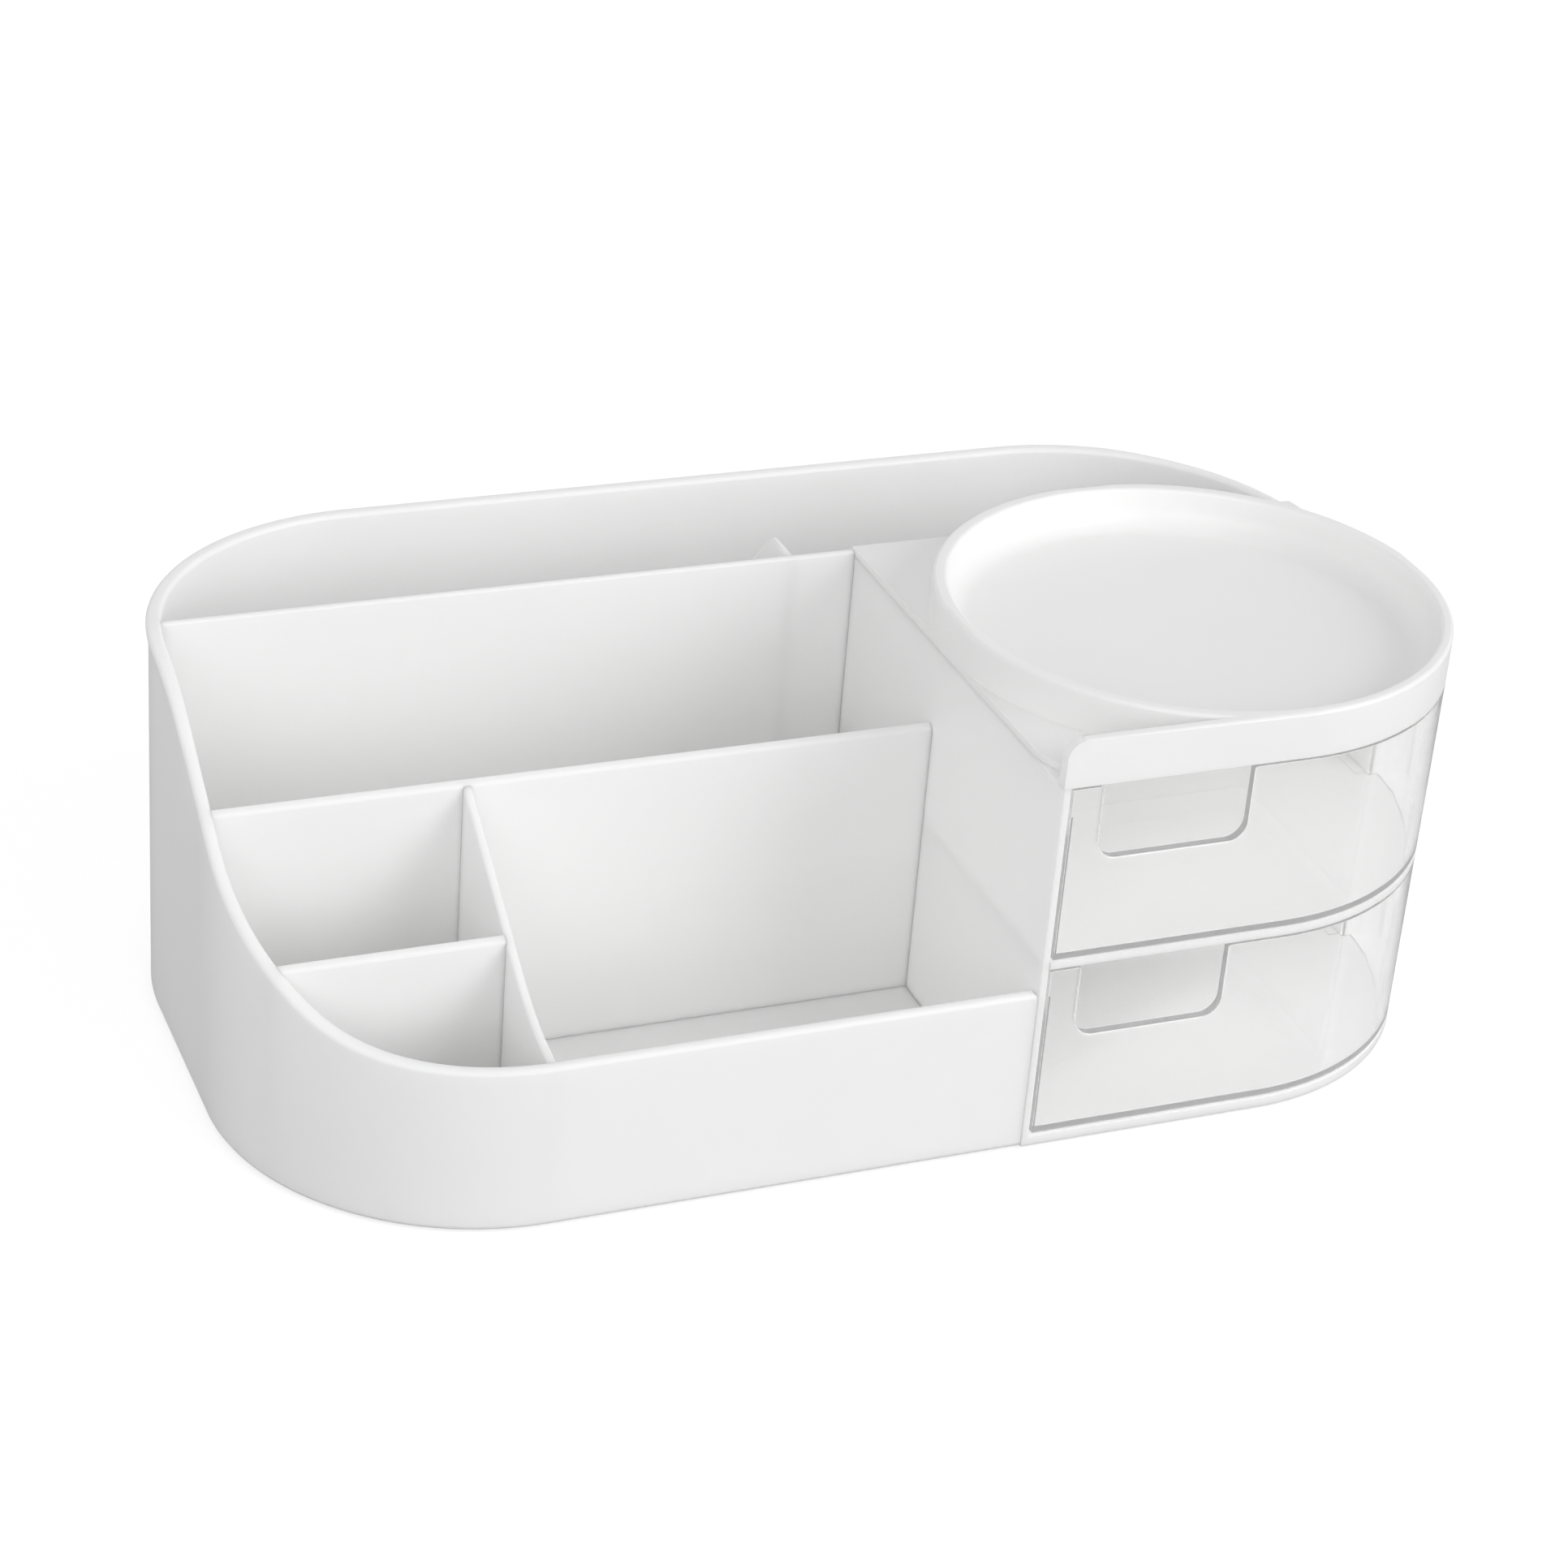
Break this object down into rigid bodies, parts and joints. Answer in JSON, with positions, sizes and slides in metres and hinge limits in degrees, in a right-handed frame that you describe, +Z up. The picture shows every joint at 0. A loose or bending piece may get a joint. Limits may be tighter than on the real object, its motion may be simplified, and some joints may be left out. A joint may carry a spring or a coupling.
{
  "type": "makeup organizer",
  "caption": "Low open caddy with partitions and a swept rim, joined to a small drawer cabinet with clear curved drawers and a round dish on top.",
  "frame": {"origin": "on the table under the middle of the footprint", "axes": "+X to the right towards the drawers, +Y to the back, +Z up"},
  "size_m": [0.3, 0.17, 0.1065],
  "materials": {
    "white_plastic": "satin",
    "clear_plastic": "clear polished",
    "foot_rubber": "matte"
  },
  "bodies": {
    "body": {"caddy_shell": "white_plastic", "back_partition": "white_plastic", "middle_partition": "white_plastic", "short_partition": "white_plastic", "cross_partition": "white_plastic", "slot_partition": "white_plastic", "cabinet_frame": "white_plastic", "drawer_shelf": "white_plastic", "dish_top": "white_plastic", "foot_front_left": "foot_rubber", "foot_back_left": "foot_rubber", "foot_front_right": "foot_rubber", "foot_back_right": "foot_rubber"},
    "upper_drawer": {"upper_drawer": "clear_plastic"},
    "lower_drawer": {"lower_drawer": "clear_plastic"}
  },
  "joints": [
    {"name": "upper_drawer_slide", "type": "slide", "parent": "body", "child": "upper_drawer", "axis": [0, -1, 0], "range_m": [0, 0.0955]},
    {"name": "lower_drawer_slide", "type": "slide", "parent": "body", "child": "lower_drawer", "axis": [0, -1, 0], "range_m": [0, 0.0955]}
  ]
}
